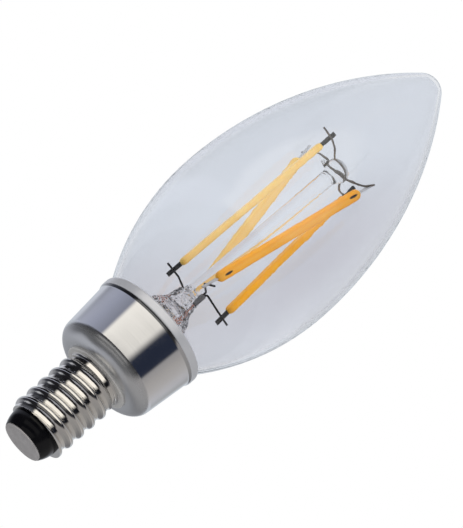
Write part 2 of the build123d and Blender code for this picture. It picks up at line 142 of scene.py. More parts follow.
floor_reach = 4.0
floor_depth = 450 * mm
work = bmesh.new()
bmesh.ops.create_grid(work, x_segments=1, y_segments=1, size=floor_reach)
bmesh.ops.translate(work, vec=(0.0, 0.0, -floor_depth), verts=work.verts)
floor = stage_piece(work, "floor")
floor.visible_glossy = False
floor_paint = bpy.data.materials.new("floor_paint")
floor_paint.use_nodes = True
paint = floor_paint.node_tree.nodes["Principled BSDF"]
paint.inputs["Base Color"].default_value = (0.9, 0.9, 0.9, 1.0)
paint.inputs["Roughness"].default_value = 0.9
floor.data.materials.append(floor_paint)
print("floor's depth under the contact in mm:", round(floor_depth / mm))

# %% [markdown]
# ## What the metal mirrors
# Plated metal has no look of its own: it shows the room. The photograph's collar mirrors one tall soft
# box at the front left, a dark gap beside it and paler walls further round. Each turn of the thread
# mirrors the same room again, black where it looks past the soft box. A dome round the bulb stands for
# that room. It is seen only in mirrors, so it neither lights nor shades the bulb, nor shows behind it. An
# image of a studio would do the same, but here the room is plain to read: its shade is set by the compass
# angle from the front and by the height.

# %% Mirror dome
dome_radius = 1.2
work = bmesh.new()
bmesh.ops.create_uvsphere(work, u_segments=96, v_segments=48, radius=dome_radius)
dome = stage_piece(work, "mirror_dome")
dome.visible_camera = False
dome.visible_diffuse = False
dome.visible_transmission = False
dome.visible_shadow = False

room = bpy.data.materials.new("mirror_room")
room.use_nodes = True
room_tree = room.node_tree
room_tree.nodes.clear()
where = room_tree.nodes.new("ShaderNodeTexCoord")
gradient = room_tree.nodes.new("ShaderNodeTexGradient")
gradient.gradient_type = "RADIAL"
split = room_tree.nodes.new("ShaderNodeSeparateXYZ")
room_tree.links.new(where.outputs["Object"], gradient.inputs["Vector"])
room_tree.links.new(where.outputs["Object"], split.inputs[0])
compass = gradient.outputs["Fac"]
height = split.outputs["Z"]
dome.data.materials.append(room)
print("dome faces:", len(dome.data.polygons))

# %% [markdown]
# ## Masks
# A mask is a value from 0 to 1 that says where on a surface something shows. A painted mask needs an
# image and a UV map. These masks are worked out from places instead, so they stay sharp at any distance.
# The same few helpers serve the mirror room here and the finishes later.


# %% Mask helpers
def rise_mask(tree, value, low, high, top=1.0, curve="LINEAR"):
    """A mask that goes from nothing at low to top at high."""
    rise = tree.nodes.new("ShaderNodeMapRange")
    rise.interpolation_type = curve
    rise.inputs["From Min"].default_value = low
    rise.inputs["From Max"].default_value = high
    rise.inputs["To Max"].default_value = top
    tree.links.new(value, rise.inputs["Value"])
    return rise.outputs["Result"]


def spread_mask(tree, value, start, end, top):
    """A mask of a value's distance from zero: nothing at start, top at end."""
    size = tree.nodes.new("ShaderNodeMath")
    size.operation = "ABSOLUTE"
    tree.links.new(value, size.inputs[0])
    return rise_mask(tree, size.outputs[0], start, end, top)


def spot_mask(tree, place, middle, reach, soft):
    """A mask of an ellipsoid with a given middle and half sizes: full inside, soft to its edge."""
    shift = tree.nodes.new("ShaderNodeVectorMath")
    shift.operation = "SUBTRACT"
    shift.inputs[1].default_value = middle
    shrink = tree.nodes.new("ShaderNodeVectorMath")
    shrink.operation = "DIVIDE"
    shrink.inputs[1].default_value = reach
    size = tree.nodes.new("ShaderNodeVectorMath")
    size.operation = "LENGTH"
    tree.links.new(place, shift.inputs[0])
    tree.links.new(shift.outputs["Vector"], shrink.inputs[0])
    tree.links.new(shrink.outputs["Vector"], size.inputs[0])
    return rise_mask(tree, size.outputs["Value"], 1.0, 1.0 - soft)


def both(tree, first, second):
    """A mask that is 1 only where two masks are."""
    times = tree.nodes.new("ShaderNodeMath")
    times.operation = "MULTIPLY"
    tree.links.new(first, times.inputs[0])
    tree.links.new(second, times.inputs[1])
    return times.outputs[0]


def feed(tree, source, socket):
    """Set a socket to a plain tone, or link it to another socket."""
    if isinstance(source, tuple):
        socket.default_value = (*source, 1.0)
    else:
        tree.links.new(source, socket)


def lay_over(tree, base, mask, tone):
    """A colour with another tone laid over it by a mask."""
    mix = tree.nodes.new("ShaderNodeMix")
    mix.data_type = "RGBA"
    tree.links.new(mask, mix.inputs["Factor"])
    feed(tree, base, mix.inputs["A"])
    feed(tree, tone, mix.inputs["B"])
    return mix.outputs["Result"]


print("mask helpers ready")

# %% [markdown]
# ## Walls of the mirror room
# What the collar and the thread show tells what stood round the bulb: darkness in front, grey on the
# right, and bluish white on the left and behind. Every band of height under the plain ceiling has its own
# colour ramp round the compass. One ramp for the whole room would be shorter, but each band shows on
# another part of the metal, so each can be tuned by looking at that part alone.


# %% Wall helpers
def compass_stop(side):
    """Place on the compass gradient of an angle from the front, right positive, in degrees."""
    return (side / 360.0 + 0.25) % 1.0


def height_stop(lift):
    """Height on the dome of an angle above the level, in degrees."""
    return dome_radius * sin(radians(lift))


def compass_step(low, high):
    """A mask that rises between two compass angles."""
    return rise_mask(room_tree, compass, compass_stop(low), compass_stop(high), curve="SMOOTHSTEP")


def height_step(low, high):
    """A mask that rises between two angles above the level."""
    return rise_mask(room_tree, height, height_stop(low), height_stop(high), curve="SMOOTHSTEP")


seam_side = -90.0
seam_gap = 0.1


def wall_ramp(seam, stops):
    """Shades round the room by compass angle. The ramp's two ends meet at the left, in the seam's shade."""
    ramp = room_tree.nodes.new("ShaderNodeValToRGB")
    room_tree.links.new(compass, ramp.inputs["Fac"])
    ends = [(seam_side - seam_gap, seam), (seam_side + seam_gap, seam)]
    placed = sorted((compass_stop(side), shade) for side, shade in ends + stops)
    while len(ramp.color_ramp.elements) < len(placed):
        ramp.color_ramp.elements.new(0.5)
    for element, (stop, shade) in zip(ramp.color_ramp.elements, placed):
        element.position = stop
        element.color = (*shade, 1.0)
    return ramp.outputs["Color"]


print("compass gradient has its seam at", seam_side, "degrees")

# %% Walls
navy = (0.024, 0.031, 0.055)
paper = (0.66, 0.70, 0.75)
soot = (0.016, 0.016, 0.019)
ceiling = (0.42, 0.42, 0.44)
level_walls = wall_ramp((0.45, 0.47, 0.57), [
    (-66, (0.35, 0.365, 0.44)), (-54, (0.28, 0.29, 0.36)), (-48, navy), (57, navy),
    (62, (0.42, 0.40, 0.39)), (81, (0.52, 0.49, 0.463)), (103, (0.60, 0.57, 0.55)),
    (128, (0.71, 0.70, 0.73)), (145, paper), (-145, paper), (-124, (0.58, 0.60, 0.70)),
])
high_walls = wall_ramp((0.008, 0.008, 0.009), [
    (52, (0.008, 0.008, 0.01)), (60, (0.40, 0.38, 0.36)), (110, (0.46, 0.44, 0.42)),
    (145, (0.42, 0.41, 0.40)), (165, paper), (-165, paper), (-142, (0.72, 0.73, 0.82)),
    (-126, (0.012, 0.012, 0.013)),
])
low_walls = wall_ramp(soot, [
    (-25, soot), (22, (0.018, 0.018, 0.02)), (46, (0.04, 0.038, 0.038)), (58, (0.38, 0.36, 0.35)),
    (110, (0.36, 0.35, 0.34)), (150, (0.20, 0.20, 0.21)), (180, (0.38, 0.39, 0.41)),
    (-150, (0.48, 0.49, 0.53)), (-122, (0.06, 0.064, 0.08)),
])
ground = wall_ramp((0.50, 0.51, 0.55), [(0, (0.42, 0.42, 0.45)), (90, (0.40, 0.39, 0.39))])
shade = lay_over(room_tree, ground, height_step(-70, -58), low_walls)
shade = lay_over(room_tree, shade, height_step(3, 9), level_walls)
shade = lay_over(room_tree, shade, height_step(14, 19), high_walls)
shade = lay_over(room_tree, shade, height_step(46, 54), ceiling)
print("nodes in the room so far:", len(room_tree.nodes))

# %% [markdown]
# ## The soft box
# The big white image on the collar and the small ones on the thread are one soft box. It is a panel with
# soft edges on the dome, and an ellipse above it. Two faint strips lower down and a pale panel low on the
# left keep the collar from going black where it looks down. A lamp with a visible face would mirror too,
# but then its picture and its light would have one brightness between them.


# %% Soft box of the mirror room
def box_panel(left, right, foot, head):
    """Mask between two compass angles and two heights, each with its softness, in degrees."""
    side = both(
        room_tree,
        compass_step(left[0] - left[1], left[0] + left[1]),
        compass_step(right[0] + right[1], right[0] - right[1]),
    )
    tall = both(
        room_tree,
        height_step(foot[0] - foot[1], foot[0] + foot[1]),
        height_step(head[0] + head[1], head[0] - head[1]),
    )
    return both(room_tree, side, tall)


box_white = (1.34, 1.27, 1.15)
low_white = (0.36, 0.35, 0.335)
left_pale = (0.56, 0.57, 0.61)
panels = [
    (box_white, (-56, 5), (14, 9), (9, 2), (22, 2)),
    (low_white, (-60, 5), (18, 9), (-16, 1.5), (-4, 1.5)),
    (low_white, (-60, 5), (18, 9), (-39, 1.5), (-27, 1.5)),
    (left_pale, (-165, 10), (-106, 8), (-70, 5), (-33, 4)),
]
for tone, *edges in panels:
    shade = lay_over(room_tree, shade, box_panel(*edges), tone)

ellipse_side = -15.0
ellipse_reach = 60.0
ellipse_lift = 31.0
ellipse_top = 62.0
ellipse_soft = 0.2
spot = room_tree.nodes.new("ShaderNodeCombineXYZ")
room_tree.links.new(compass, spot.inputs["X"])
room_tree.links.new(height, spot.inputs["Y"])
ellipse_middle = (compass_stop(ellipse_side), height_stop(ellipse_lift), 0.0)
ellipse_half = (ellipse_reach / 360.0, height_stop(ellipse_top) - height_stop(ellipse_lift), 1.0)
ellipse = spot_mask(room_tree, spot.outputs["Vector"], ellipse_middle, ellipse_half, ellipse_soft)
shade = lay_over(room_tree, shade, ellipse, box_white)
glow = room_tree.nodes.new("ShaderNodeEmission")
room_end = room_tree.nodes.new("ShaderNodeOutputMaterial")
room_tree.links.new(shade, glow.inputs["Color"])
room_tree.links.new(glow.outputs[0], room_end.inputs["Surface"])
print("soft box reaches to", ellipse_top, "degrees, with panels:", len(panels))

# %% [markdown]
# ## Lamps
# The strips, the contact and the floor are matt, so they need real light and not only a picture to
# mirror. Two wide area lamps give it, one for the soft box and a weaker one for the pale wall on the
# right. A sun would be simpler, but its shadows are hard. The lamps are hidden from mirrors, from the
# camera and from rays through glass, because the dome and the world already show what those see.

# %% Lamps
lamp_target = Vector((0.0, 0.0, 30.0)) * mm


def soft_lamp(name, side, lift, width, height, reach, watts, tint):
    """A rectangular lamp at a compass angle and a height, in degrees, that lights matt surfaces only."""
    turn = radians(side)
    rise = radians(lift)
    toward = Vector((sin(turn) * cos(rise), -cos(turn) * cos(rise), sin(rise)))
    data = bpy.data.lights.new(name, "AREA")
    data.shape = "RECTANGLE"
    data.size = width
    data.size_y = height
    data.energy = watts
    data.color = tint
    lamp = bpy.data.objects.new(name, data)
    bpy.context.scene.collection.objects.link(lamp)
    facing = toward.to_track_quat("Z", "Y").to_matrix().to_4x4()
    lamp.matrix_world = Matrix.Translation(lamp_target + toward * reach) @ facing
    lamp.visible_glossy = False
    lamp.visible_camera = False
    lamp.visible_transmission = False
    return lamp


lamps = [
    soft_lamp("key_lamp", -30.0, 30.0, 0.9, 0.6, 0.9, 5.0, (1.0, 0.97, 0.93)),
    soft_lamp("fill_lamp", 60.0, 10.0, 0.7, 0.7, 1.0, 2.0, (0.95, 0.97, 1.0)),
]
print("lamps in watts:", [lamp.data.energy for lamp in lamps])

# %% [markdown]
# ## Shared effects
# Several finishes need the same small irregularities: cloudy patches that change tone and shine, and the
# faint rings that turning and rolling leave round the axis. Each is a node group, built once, with its
# sizes as inputs, so that every material places the same effect with its own numbers. They read Object
# coordinates, in metres.


# %% Cloud group
def new_group(name, inputs, outputs):
    """A shader node group with named sockets, and its input and output nodes."""
    group = bpy.data.node_groups.new(name, "ShaderNodeTree")
    for socket, value in inputs:
        made = group.interface.new_socket(socket, in_out="INPUT", socket_type="NodeSocketFloat")
        made.default_value = value
    for socket in outputs:
        group.interface.new_socket(socket, in_out="OUTPUT", socket_type="NodeSocketFloat")
    entry = group.nodes.new("NodeGroupInput")
    leave = group.nodes.new("NodeGroupOutput")
    return group, entry, leave


clouds, entry, leave = new_group(
    "cloud_patches", [("Size", 400.0), ("Low", 0.1), ("High", 0.2)], ["Level", "Mask"])
where = clouds.nodes.new("ShaderNodeTexCoord")
patches = clouds.nodes.new("ShaderNodeTexNoise")
patches.inputs["Detail"].default_value = 4.0
patches.inputs["Roughness"].default_value = 0.55
clouds.links.new(where.outputs["Object"], patches.inputs["Vector"])
clouds.links.new(entry.outputs["Size"], patches.inputs["Scale"])
spread = rise_mask(clouds, patches.outputs["Fac"], 0.3, 0.7)
level = clouds.nodes.new("ShaderNodeMapRange")
clouds.links.new(spread, level.inputs["Value"])
clouds.links.new(entry.outputs["Low"], level.inputs["To Min"])
clouds.links.new(entry.outputs["High"], level.inputs["To Max"])
clouds.links.new(level.outputs["Result"], leave.inputs["Level"])
clouds.links.new(spread, leave.inputs["Mask"])
print("group:", clouds.name)

# %% Turned marks group
marks, entry, leave = new_group("turned_marks", [("Rings per metre", 9000.0), ("Wobble", 0.3)], ["Height"])
where = marks.nodes.new("ShaderNodeTexCoord")
rings = marks.nodes.new("ShaderNodeTexNoise")
rings.inputs["Detail"].default_value = 2.0
stretch = marks.nodes.new("ShaderNodeVectorMath")
stretch.operation = "MULTIPLY"
scale = marks.nodes.new("ShaderNodeCombineXYZ")
scale.inputs["Z"].default_value = 1.0
marks.links.new(entry.outputs["Wobble"], scale.inputs["X"])
marks.links.new(entry.outputs["Wobble"], scale.inputs["Y"])
marks.links.new(where.outputs["Object"], stretch.inputs[0])
marks.links.new(scale.outputs[0], stretch.inputs[1])
marks.links.new(stretch.outputs[0], rings.inputs["Vector"])
marks.links.new(entry.outputs["Rings per metre"], rings.inputs["Scale"])
marks.links.new(rings.outputs["Fac"], leave.inputs["Height"])
print("group:", marks.name)

# %% [markdown]
# ## The start of a finish
# Metal, moulded and coated surfaces here have one thing in common: two close tones that drift in soft
# clouds, with a shine that drifts along. So most finishes start from one function and add what is their
# own. Wiring each material by hand would show more in the editor, but would say the same thing many
# times.


# %% Material helpers
def new_finish(name):
    """A material with one Principled shader, its tree and the shader."""
    finish = bpy.data.materials.new(name)
    finish.use_nodes = True
    tree = finish.node_tree
    return finish, tree, tree.nodes["Principled BSDF"]


def place_group(tree, group, **values):
    """One use of a shared effect, with its own values."""
    use = tree.nodes.new("ShaderNodeGroup")
    use.node_tree = group
    for socket, value in values.items():
        use.inputs[socket.replace("_", " ")].default_value = value
    return use


def clouded(name, first, second, low, high, patch):
    """A finish whose tone and roughness drift in clouds, with its tree, its shader and the clouds."""
    finish, tree, shader = new_finish(name)
    cloud = place_group(tree, clouds, Size=patch, Low=low, High=high)
    tree.links.new(lay_over(tree, first, cloud.outputs["Mask"], second), shader.inputs["Base Color"])
    tree.links.new(cloud.outputs["Level"], shader.inputs["Roughness"])
    return finish, tree, shader, cloud


def tone_of(shader):
    """The socket that feeds a shader's colour."""
    return shader.inputs["Base Color"].links[0].from_socket


def relief(tree, shader, height, strength, depth):
    """A bump of a given depth in metres on the shader's normal."""
    bump = tree.nodes.new("ShaderNodeBump")
    bump.inputs["Strength"].default_value = strength
    bump.inputs["Distance"].default_value = depth
    tree.links.new(height, bump.inputs["Height"])
    tree.links.new(bump.outputs["Normal"], shader.inputs["Normal"])


finishes = {}
print("material helpers ready")

# %% [markdown]
# ## Plated metal
# The collar is a smooth bright plating with sharp mirror images, and the thread is nickel on rolled
# sheet, slightly warmer. Both are fully metallic, so their colour is the tint of what they mirror. A flat
# colour would look like plastic, so the shine varies in soft clouds and faint rings run round the axis.
# The wires, tabs and sleeves are duller or darker metals from the same recipe. The bright tabs look pale
# and matt, so they are only a little metallic.


# %% Plated finishes
def plated(name, first, second, low, high, patch, rings, dent):
    """Plated sheet metal: two close tones, cloudy shine and faint turning marks."""
    finish, tree, shader, _ = clouded(name, first, second, low, high, patch)
    shader.inputs["Metallic"].default_value = 1.0
    ring = place_group(tree, marks, Rings_per_metre=rings, Wobble=0.05)
    relief(tree, shader, ring.outputs["Height"], 0.5, dent)
    return finish


# Two tones, lowest and highest roughness, clouds per metre, rings per metre, depth of the rings
metals = {
    "collar_plating": ((0.63, 0.64, 0.66), (0.67, 0.68, 0.70), 0.07, 0.13, 160.0, 2500.0, 2e-6),
    "shell_plating": ((0.66, 0.65, 0.64), (0.76, 0.75, 0.73), 0.05, 0.09, 350.0, 4000.0, 2e-6),
    "tinned_wire": ((0.60, 0.60, 0.60), (0.72, 0.72, 0.71), 0.22, 0.4, 900.0, 8000.0, 2e-6),
    "capacitor_can": ((0.58, 0.59, 0.61), (0.68, 0.69, 0.70), 0.2, 0.34, 500.0, 5000.0, 2e-6),
    "sleeve_metal": ((0.13, 0.132, 0.135), (0.19, 0.19, 0.19), 0.28, 0.42, 900.0, 6000.0, 3e-6),
    "tab_metal": ((0.020, 0.020, 0.021), (0.045, 0.045, 0.045), 0.4, 0.6, 900.0, 6000.0, 3e-6),
    "bright_tab": ((0.66, 0.66, 0.67), (0.76, 0.76, 0.76), 0.4, 0.55, 900.0, 6000.0, 3e-6),
    "lead_metal": ((0.010, 0.010, 0.011), (0.028, 0.027, 0.026), 0.35, 0.5, 900.0, 6000.0, 3e-6),
    "bridge_metal": ((0.15, 0.135, 0.12), (0.24, 0.215, 0.19), 0.3, 0.45, 900.0, 6000.0, 3e-6),
    "seal_copper": ((0.72, 0.33, 0.24), (0.80, 0.42, 0.33), 0.3, 0.45, 900.0, 6000.0, 3e-6),
}
for name, recipe in metals.items():
    finishes[name] = plated(name, *recipe)
finishes["bright_tab"].node_tree.nodes["Principled BSDF"].inputs["Metallic"].default_value = 0.25
print("plated finishes:", sorted(finishes))

# %% [markdown]
# ## Satin bands
# The collar's lip, its lower rounding and the flange under it are satin: they blur the room instead of
# mirroring it. A second material would need their faces to be picked out. The bands are level rings, so a
# mask by height finds them without picking.


# %% Satin bands
def satin_band(finish, low, high, blur, tone, rough, metal):
    """Give a finish another tone and shine between two levels, in metres, with edges of a given blur."""
    tree = finish.node_tree
    shader = tree.nodes["Principled BSDF"]
    where = tree.nodes.new("ShaderNodeTexCoord")
    split = tree.nodes.new("ShaderNodeSeparateXYZ")
    tree.links.new(where.outputs["Object"], split.inputs[0])
    level = split.outputs["Z"]
    over_low = rise_mask(tree, level, low - blur, low + blur)
    under_high = rise_mask(tree, level, high + blur, high - blur)
    band = both(tree, over_low, under_high)
    tree.links.new(lay_over(tree, tone_of(shader), band, tone), shader.inputs["Base Color"])
    for socket, away in (("Roughness", rough), ("Metallic", metal)):
        shift = tree.nodes.new("ShaderNodeMix")
        shift.inputs["A"].default_value = shader.inputs[socket].default_value
        shift.inputs["B"].default_value = away
        if shader.inputs[socket].is_linked:
            tree.links.new(shader.inputs[socket].links[0].from_socket, shift.inputs["A"])
        tree.links.new(band, shift.inputs["Factor"])
        tree.links.new(shift.outputs["Result"], shader.inputs[socket])


collar_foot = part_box("screw_shell")[1].z
collar_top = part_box("collar")[1].z
lip_height = 1.8 * mm
rounding_height = 2.1 * mm
flange_height = 0.5 * mm
above_all = collar_top + 10 * mm
below_all = -1.0 * mm
# Finish, lower and upper level, blur of the edges, tone, roughness, metallic
bands = [
    ("collar_plating", collar_top - lip_height, above_all, 0.08 * mm, (0.53, 0.54, 0.57), 0.34, 0.45),
    ("collar_plating", below_all, collar_foot + rounding_height, 0.7 * mm, (0.62, 0.63, 0.65), 0.3, 0.85),
    ("shell_plating", collar_foot - flange_height, above_all, 0.04 * mm, (0.66, 0.65, 0.63), 0.36, 0.4),
]
for name, *band in bands:
    satin_band(finishes[name], *band)
print("collar from", round(collar_foot / mm, 2), "to", round(collar_top / mm, 2), "mm")

# %% [markdown]
# ## The contact and the insulator
# The contact is a grey metal disc, pressed and slightly matt, so it is only partly metallic and has a
# fine grain. The insulator above it is glossy black, so smooth that it shows thin bright lines where its
# edge turns. A lower specular level keeps those lines thin, where a rougher surface would turn it all
# grey.

# %% Contact and insulator
finishes["contact_metal"], tree, shader, _ = clouded(
    "contact_metal", (0.36, 0.345, 0.34), (0.46, 0.445, 0.445), 0.45, 0.62, 420.0)
shader.inputs["Metallic"].default_value = 0.35
grain = place_group(tree, clouds, Size=2600.0, Low=0.0, High=1.0)
relief(tree, shader, grain.outputs["Level"], 0.4, 2e-5)

finishes["insulator_black"], tree, shader, cloud = clouded(
    "insulator_black", (0.002, 0.002, 0.003), (0.005, 0.005, 0.006), 0.06, 0.16, 300.0)
shader.inputs["Specular IOR Level"].default_value = 0.22
relief(tree, shader, cloud.outputs["Mask"], 0.25, 4e-5)
print("insulator's specular level:", shader.inputs["Specular IOR Level"].default_value)

# %% [markdown]
# ## Glass
# The envelope is thin blown glass with a cool tint, and the stem inside is thicker and clearer. Both
# refract, so the shader's transmission is full. Lamps can't shine through a refracting surface in one
# step, so rays from lamps meet a Transparent shader instead: Light Path's Is Shadow Ray makes the choice.
# Without it the strips inside would sit in the dark.


# %% Glass finishes
def clear_glass(name, first, second, patch):
    """Refracting glass that lets lamps through, with a tint that drifts a little over the surface."""
    finish, tree, shader = new_finish(name)
    shader.inputs["Transmission Weight"].default_value = 1.0
    shader.inputs["IOR"].default_value = 1.5
    shader.inputs["Roughness"].default_value = 0.0
    cloud = place_group(tree, clouds, Size=patch, Low=0.0, High=1.0)
    tree.links.new(lay_over(tree, first, cloud.outputs["Mask"], second), shader.inputs["Base Color"])
    rays = tree.nodes.new("ShaderNodeLightPath")
    open_way = tree.nodes.new("ShaderNodeBsdfTransparent")
    open_way.inputs["Color"].default_value = (0.95, 0.96, 0.97, 1.0)
    either = tree.nodes.new("ShaderNodeMixShader")
    tree.links.new(rays.outputs["Is Shadow Ray"], either.inputs["Fac"])
    tree.links.new(shader.outputs[0], either.inputs[1])
    tree.links.new(open_way.outputs[0], either.inputs[2])
    tree.links.new(either.outputs[0], tree.nodes["Material Output"].inputs["Surface"])
    return finish


finishes["stem_glass"] = clear_glass("stem_glass", (0.985, 0.985, 0.985), (0.995, 0.995, 0.995), 200.0)
finishes["clear_glass"] = clear_glass("clear_glass", (0.815, 0.842, 0.886), (0.827, 0.85, 0.89), 55.0)
print("glass finishes: stem_glass, clear_glass")

# %% [markdown]
# ## Tint and rim of the envelope
# The tint is deeper on the right, a painted reflection of the wall on that side, and at the neck, where a
# second soft spot darkens it. At the outline the eye looks along the wall, through much more glass, so the
# real rim is a darker line; the tinted rim also stands for the grey side walls that the outline mirrors, so
# it is partly painted reflection. A thin wall in the render mirrors within itself there and would stay
# pale.
# Layer Weight finds where the surface turns away. The normal, set against the place, tells the outer
# surface from the inner, so that the rim is tinted once.

# %% Tint and rim
tree = finishes["clear_glass"].node_tree
shader = tree.nodes["Principled BSDF"]
where = tree.nodes.new("ShaderNodeTexCoord")
place = where.outputs["Object"]
side_spot = Vector((9.5, 0.0, 58.0)) * mm
side_reach = Vector((9.0, 60.0, 28.0)) * mm
neck_spot = Vector((0.0, 0.0, 34.0)) * mm
neck_reach = Vector((14.0, 60.0, 13.0)) * mm
spot_soft = 0.75
rim_start = 0.66
rim_full = 0.72
side_painted_reflection = spot_mask(tree, place, side_spot, side_reach, spot_soft)
neck_darkening = spot_mask(tree, place, neck_spot, neck_reach, spot_soft)
# Painted reflection: the right side of the glass is tinted darker for the wall it mirrors.
tone = lay_over(tree, tone_of(shader), side_painted_reflection, (0.735, 0.738, 0.780))
tone = lay_over(tree, tone, neck_darkening, (0.735, 0.732, 0.765))

from_axis = tree.nodes.new("ShaderNodeVectorMath")
from_axis.operation = "MULTIPLY"
from_axis.inputs[1].default_value = (1.0, 1.0, 0.0)
tree.links.new(place, from_axis.inputs[0])
outward = tree.nodes.new("ShaderNodeVectorMath")
outward.operation = "DOT_PRODUCT"
tree.links.new(from_axis.outputs["Vector"], outward.inputs[0])
tree.links.new(where.outputs["Normal"], outward.inputs[1])
outer = tree.nodes.new("ShaderNodeMath")
outer.operation = "GREATER_THAN"
outer.inputs[1].default_value = 0.0
tree.links.new(outward.outputs["Value"], outer.inputs[0])
turned = tree.nodes.new("ShaderNodeLayerWeight")
turned.inputs["Blend"].default_value = 0.5
# Partly painted reflection: the darker rim also stands for the grey side walls that the outline mirrors.
rim = both(tree, rise_mask(tree, turned.outputs["Facing"], rim_start, rim_full), outer.outputs[0])
tone = lay_over(tree, tone, rim, (0.58, 0.62, 0.70))
tree.links.new(tone, shader.inputs["Base Color"])
print("nodes in the envelope's glass:", len(tree.nodes))

# %% [markdown]
# ## The stem, its crumpled press and the rod
# The stem is a flared glass tube, squeezed shut round its wires. There the hot glass folded. A drawn rod
# stands on this press, and its top was melted into a bead that grips two wires, with a drop run down on
# the left. The solids have plain forms for these, with holes for the wires. A bump would only tilt the
# shading, and glass shows folds by bending what lies behind them. So the glass is modelled again as the
# one fused body that it is, from a half outline that is grown vertex by vertex.

# %% Half outline of stem and rod
stem_low, stem_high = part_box("stem")
rod_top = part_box("support_rod")[1].z
press_top = stem_high.z
rod_radius = 1.47 * mm
tube_radius = 4.0 * mm
stem_wall = 0.9 * mm
flare_round = 0.8 * mm
flare_radius = stem_high.x - flare_round
tube_foot = stem_low.z + stem_wall + flare_radius - tube_radius
press_roof = press_top - 6.6 * mm
fold_foot = press_top - 8.7 * mm
bead_foot = rod_top - 4.6 * mm
bead_tip = rod_top - 0.22 * mm
rod_foot = press_top + 0.6 * mm
work = bmesh.new()


def grow(vert, radius, height):
    """Extrude the outline's last vertex to a new place."""
    grown = bmesh.ops.extrude_vert_indiv(work, verts=[vert])["verts"][0]
    grown.co = (radius, 0.0, height)
    return grown


def bend(vert, radius, height, degrees):
    """Spin the outline's last vertex round a centre in the outline's plane."""
    swung = bmesh.ops.spin(
        work, geom=[vert], cent=(radius, 0.0, height), axis=(0.0, 1.0, 0.0),
        angle=radians(degrees), steps=10)
    return [part for part in swung["geom_last"] if isinstance(part, bmesh.types.BMVert)][0]


# Radius and depth below the rod's top or the press's top, in millimetres
bead_outline = (
    (0.5, 0.25), (1.15, 0.4), (1.8, 0.8), (2.2, 1.45), (2.3, 2.1), (2.15, 2.8), (1.75, 3.35), (1.5, 3.9),
)
press_outline = (
    (1.52, -0.1), (1.75, 0.45), (2.2, 1.45), (2.5, 2.95), (2.95, 4.35), (3.8, 5.4), (4.0, 6.5), (4.0, 7.6),
)
tip = work.verts.new((0.0, 0.0, bead_tip))
for radius, depth in bead_outline:
    tip = grow(tip, radius * mm, rod_top - depth * mm)
tip = grow(tip, rod_radius, bead_foot)
tip = grow(tip, rod_radius, rod_foot)
for radius, depth in press_outline:
    tip = grow(tip, radius * mm, press_top - depth * mm)
tip = grow(tip, tube_radius, fold_foot)
tip = grow(tip, tube_radius, tube_foot)
tip = bend(tip, flare_radius, tube_foot, -90.0)
tip = grow(tip, stem_high.x, stem_low.z + stem_wall)
tip = grow(tip, stem_high.x, stem_low.z)
tip = grow(tip, flare_radius, stem_low.z)
tip = bend(tip, flare_radius, tube_foot, 90.0)
tip = grow(tip, tube_radius - stem_wall, press_roof)
tip = grow(tip, 0.0, press_roof)
print("outline points:", len(work.verts))

# %% [markdown]
# ## From outline to body
# The melted bead is rounder than a few points can draw, so its part of the outline is divided and
# smoothed. The press is divided finely too, because every fold needs points of its own. A Screw modifier
# could turn the outline round the axis. Here spin does it at once, and the closing seam and the poles are
# merged.


# %% Finer outline, and spin
def edges_between(low, high):
    """Edges of the outline that lie between two levels."""
    return [edge for edge in work.edges if all(low < end.co.z < high for end in edge.verts)]


hair = 0.1 * mm
bead_smoothings = 4
turn_steps = 180
bmesh.ops.subdivide_edges(work, edges=edges_between(bead_foot - hair, rod_top), cuts=3)
bmesh.ops.subdivide_edges(work, edges=edges_between(fold_foot - hair, press_top + 1.0 * mm), cuts=8)
bead_points = [
    vert for vert in work.verts if vert.co.z > bead_foot + 2 * hair and len(vert.link_edges) == 2]
for _ in range(bead_smoothings):
    bmesh.ops.smooth_vert(
        work, verts=bead_points, factor=0.5, use_axis_x=True, use_axis_y=True, use_axis_z=True)
bmesh.ops.spin(
    work, geom=work.verts[:] + work.edges[:], cent=(0.0, 0.0, 0.0), axis=(0.0, 0.0, 1.0),
    angle=2 * pi, steps=turn_steps, use_merge=True)
bmesh.ops.remove_doubles(work, verts=work.verts, dist=1e-6)
bmesh.ops.recalc_face_normals(work, faces=work.faces)
print("spun points:", len(work.verts))

# %% [markdown]
# ## Folds, bead and drop
# Now the points are moved as a sculptor would pinch and pull them: the press is squeezed flat and
# creased, the bead gets lumps, one spot of it is pulled out into the drop, and the rod leans a little, as
# in the photograph. A Displace modifier could do one of these. A loop over the points does all of them in
# one pass, each kept to its own range of heights.


# %% Move the points
def ramp_up(value, low, high):
    """0 below low, 1 above high, straight between them."""
    return min(max((value - low) / (high - low), 0.0), 1.0)


def ridge(place):
    """Sharp crests from smooth noise: 1 on the crests, -1 at the deepest."""
    return 1.0 - 2.0 * abs(noise.noise(place))


